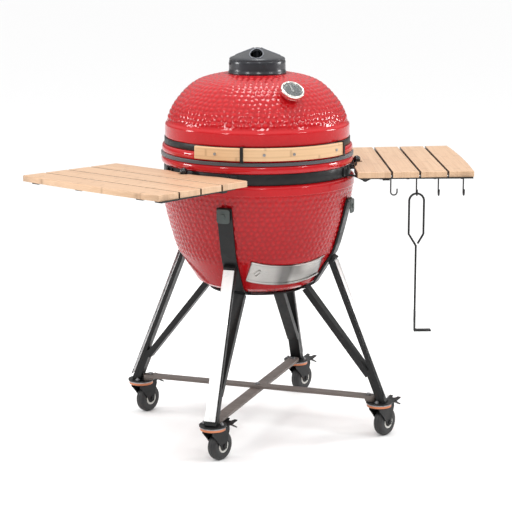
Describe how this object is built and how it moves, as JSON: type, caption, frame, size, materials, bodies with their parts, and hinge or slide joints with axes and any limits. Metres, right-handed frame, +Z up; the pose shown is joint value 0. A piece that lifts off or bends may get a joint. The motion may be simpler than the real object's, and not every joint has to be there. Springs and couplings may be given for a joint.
{
  "type": "kamado ceramic grill",
  "caption": "Egg-shaped ceramic charcoal grill with hinged lid, on a four-leg wheeled cart with folding bamboo side shelves and a hanging ash tool.",
  "frame": {"origin": "the point on the floor under the vertical axis of the ceramic bowl", "axes": "+Z up, front of the grill (thermometer and draft vent) towards -Y, +X to the right of a person in front of it"},
  "size_m": [1.3834, 0.7446, 1.131],
  "materials": {
    "red_glaze": "gloss",
    "firebrick": "matte",
    "cast_iron": "satin",
    "stainless": "brushed",
    "chrome": "polished",
    "felt": "matte",
    "black_powder_coat": "satin",
    "grey_powder_coat": "satin",
    "bamboo": "satin",
    "zinc_bolts": "satin",
    "copper_plate": "satin",
    "pad_grey": "matte",
    "knob_black": "satin",
    "dial_face": "matte",
    "clear_glass": "gloss",
    "needle_paint": "satin",
    "tyre_rubber": "matte"
  },
  "bodies": {
    "cart_and_bowl": {"base_shell": "red_glaze", "firebox": "firebrick", "fire_ring": "firebrick", "charcoal_grate": "cast_iron", "cooking_grid": "stainless", "base_gasket": "felt", "base_band": "black_powder_coat", "base_band_bolts": "zinc_bolts", "draft_frame": "stainless", "hinge_lower_bracket": "black_powder_coat", "hinge_pin": "zinc_bolts", "hinge_springs": "zinc_bolts", "leg_front_left": "black_powder_coat", "leg_front_right": "black_powder_coat", "leg_rear_left": "black_powder_coat", "leg_rear_right": "black_powder_coat", "leg_pads": "pad_grey", "cradle_ring": "black_powder_coat", "cross_brace": "grey_powder_coat", "cart_bolts": "zinc_bolts", "caster_plates": "zinc_bolts", "swivel_races": "copper_plate", "shelf_brackets": "black_powder_coat", "shelf_pivot_pins": "knob_black"},
    "lid": {"lid_dome": "red_glaze", "lid_gasket": "felt", "lid_band": "black_powder_coat", "handle": "bamboo", "handle_brackets": "black_powder_coat", "lid_fasteners": "zinc_bolts", "hinge_upper_bracket": "black_powder_coat", "thermometer_case": "chrome", "thermometer_dial": "dial_face", "thermometer_lens": "clear_glass", "vent_collar": "cast_iron", "vent_damper": "cast_iron", "vent_pivot": "zinc_bolts"},
    "needle": {"thermometer_needle": "needle_paint"},
    "cap": {"vent_cap": "cast_iron"},
    "door": {"draft_door": "stainless"},
    "shelf_left": {"slats_left": "bamboo", "shelf_frame_left": "black_powder_coat", "slat_screws_left": "zinc_bolts"},
    "shelf_right": {"slats_right": "bamboo", "shelf_frame_right": "black_powder_coat", "slat_screws_right": "zinc_bolts", "tool_hooks": "black_powder_coat"},
    "tool": {"ash_tool": "black_powder_coat"},
    "swivel_front_left": {"fork_front_left": "black_powder_coat"},
    "wheel_front_left": {"wheel_front_left": "tyre_rubber"},
    "brake_front_left": {"brake_front_left": "black_powder_coat"},
    "swivel_front_right": {"fork_front_right": "black_powder_coat"},
    "wheel_front_right": {"wheel_front_right": "tyre_rubber"},
    "brake_front_right": {"brake_front_right": "black_powder_coat"},
    "swivel_rear_left": {"fork_rear_left": "black_powder_coat"},
    "wheel_rear_left": {"wheel_rear_left": "tyre_rubber"},
    "brake_rear_left": {"brake_rear_left": "black_powder_coat"},
    "swivel_rear_right": {"fork_rear_right": "black_powder_coat"},
    "wheel_rear_right": {"wheel_rear_right": "tyre_rubber"},
    "brake_rear_right": {"brake_rear_right": "black_powder_coat"}
  },
  "joints": [
    {"name": "lid_hinge", "type": "hinge", "parent": "cart_and_bowl", "child": "lid", "pos_m": [0, 0.312, 0.829], "axis": [-1, 0, 0], "range_deg": [0, 75]},
    {"name": "cap_turn", "type": "hinge", "parent": "lid", "child": "cap", "pos_m": [0, 0, 1.1], "axis": [0, 0, 1], "range_deg": [0, 45]},
    {"name": "needle_turn", "type": "hinge", "parent": "lid", "child": "needle", "pos_m": [0, -0.22521, 1.02841], "axis": [0, -0.5878, 0.809], "range_deg": [-120, 120]},
    {"name": "door_slide", "type": "hinge", "parent": "cart_and_bowl", "child": "door", "pos_m": [0, 0, 0.63193], "axis": [0, -0.5362, 0.8441], "range_deg": [0, 25]},
    {"name": "shelf_left_fold", "type": "hinge", "parent": "cart_and_bowl", "child": "shelf_left", "pos_m": [-0.27953, -0.12201, 0.764], "axis": [0.4, -0.9165, 0], "range_deg": [0, 90]},
    {"name": "shelf_right_fold", "type": "hinge", "parent": "cart_and_bowl", "child": "shelf_right", "pos_m": [0.27953, -0.12201, 0.764], "axis": [0.4, 0.9165, 0], "range_deg": [0, 90]},
    {"name": "tool_swing", "type": "hinge", "parent": "shelf_right", "child": "tool", "pos_m": [0.32704, -0.35813, 0.7285], "axis": [0.4, 0.9165, 0], "range_deg": [-90, 0]},
    {"name": "swivel_front_left", "type": "hinge", "parent": "cart_and_bowl", "child": "swivel_front_left", "pos_m": [-0.267, -0.267, 0.094], "axis": [0, 0, 1], "continuous": true},
    {"name": "roll_front_left", "type": "hinge", "parent": "swivel_front_left", "child": "wheel_front_left", "pos_m": [-0.24004, -0.25385, 0.042], "axis": [0.4384, -0.8988, 0], "continuous": true},
    {"name": "brake_front_left", "type": "hinge", "parent": "swivel_front_left", "child": "brake_front_left", "pos_m": [-0.22745, -0.24771, 0.092], "axis": [-0.4384, 0.8988, 0], "range_deg": [0, 16]},
    {"name": "swivel_front_right", "type": "hinge", "parent": "cart_and_bowl", "child": "swivel_front_right", "pos_m": [0.267, -0.267, 0.094], "axis": [0, 0, 1], "continuous": true},
    {"name": "roll_front_right", "type": "hinge", "parent": "swivel_front_right", "child": "wheel_front_right", "pos_m": [0.29396, -0.25385, 0.042], "axis": [0.4384, -0.8988, 0], "continuous": true},
    {"name": "brake_front_right", "type": "hinge", "parent": "swivel_front_right", "child": "brake_front_right", "pos_m": [0.30655, -0.24771, 0.092], "axis": [-0.4384, 0.8988, 0], "range_deg": [0, 16]},
    {"name": "swivel_rear_left", "type": "hinge", "parent": "cart_and_bowl", "child": "swivel_rear_left", "pos_m": [-0.267, 0.267, 0.094], "axis": [0, 0, 1], "continuous": true},
    {"name": "roll_rear_left", "type": "hinge", "parent": "swivel_rear_left", "child": "wheel_rear_left", "pos_m": [-0.24004, 0.28015, 0.042], "axis": [0.4384, -0.8988, 0], "continuous": true},
    {"name": "brake_rear_left", "type": "hinge", "parent": "swivel_rear_left", "child": "brake_rear_left", "pos_m": [-0.22745, 0.28629, 0.092], "axis": [-0.4384, 0.8988, 0], "range_deg": [0, 16]},
    {"name": "swivel_rear_right", "type": "hinge", "parent": "cart_and_bowl", "child": "swivel_rear_right", "pos_m": [0.267, 0.267, 0.094], "axis": [0, 0, 1], "continuous": true},
    {"name": "roll_rear_right", "type": "hinge", "parent": "swivel_rear_right", "child": "wheel_rear_right", "pos_m": [0.29396, 0.28015, 0.042], "axis": [0.4384, -0.8988, 0], "continuous": true},
    {"name": "brake_rear_right", "type": "hinge", "parent": "swivel_rear_right", "child": "brake_rear_right", "pos_m": [0.30655, 0.28629, 0.092], "axis": [-0.4384, 0.8988, 0], "range_deg": [0, 16]}
  ],
  "couplings": [
    {"joint": "tool_swing", "follows": "shelf_right_fold", "ratio": -1}
  ]
}
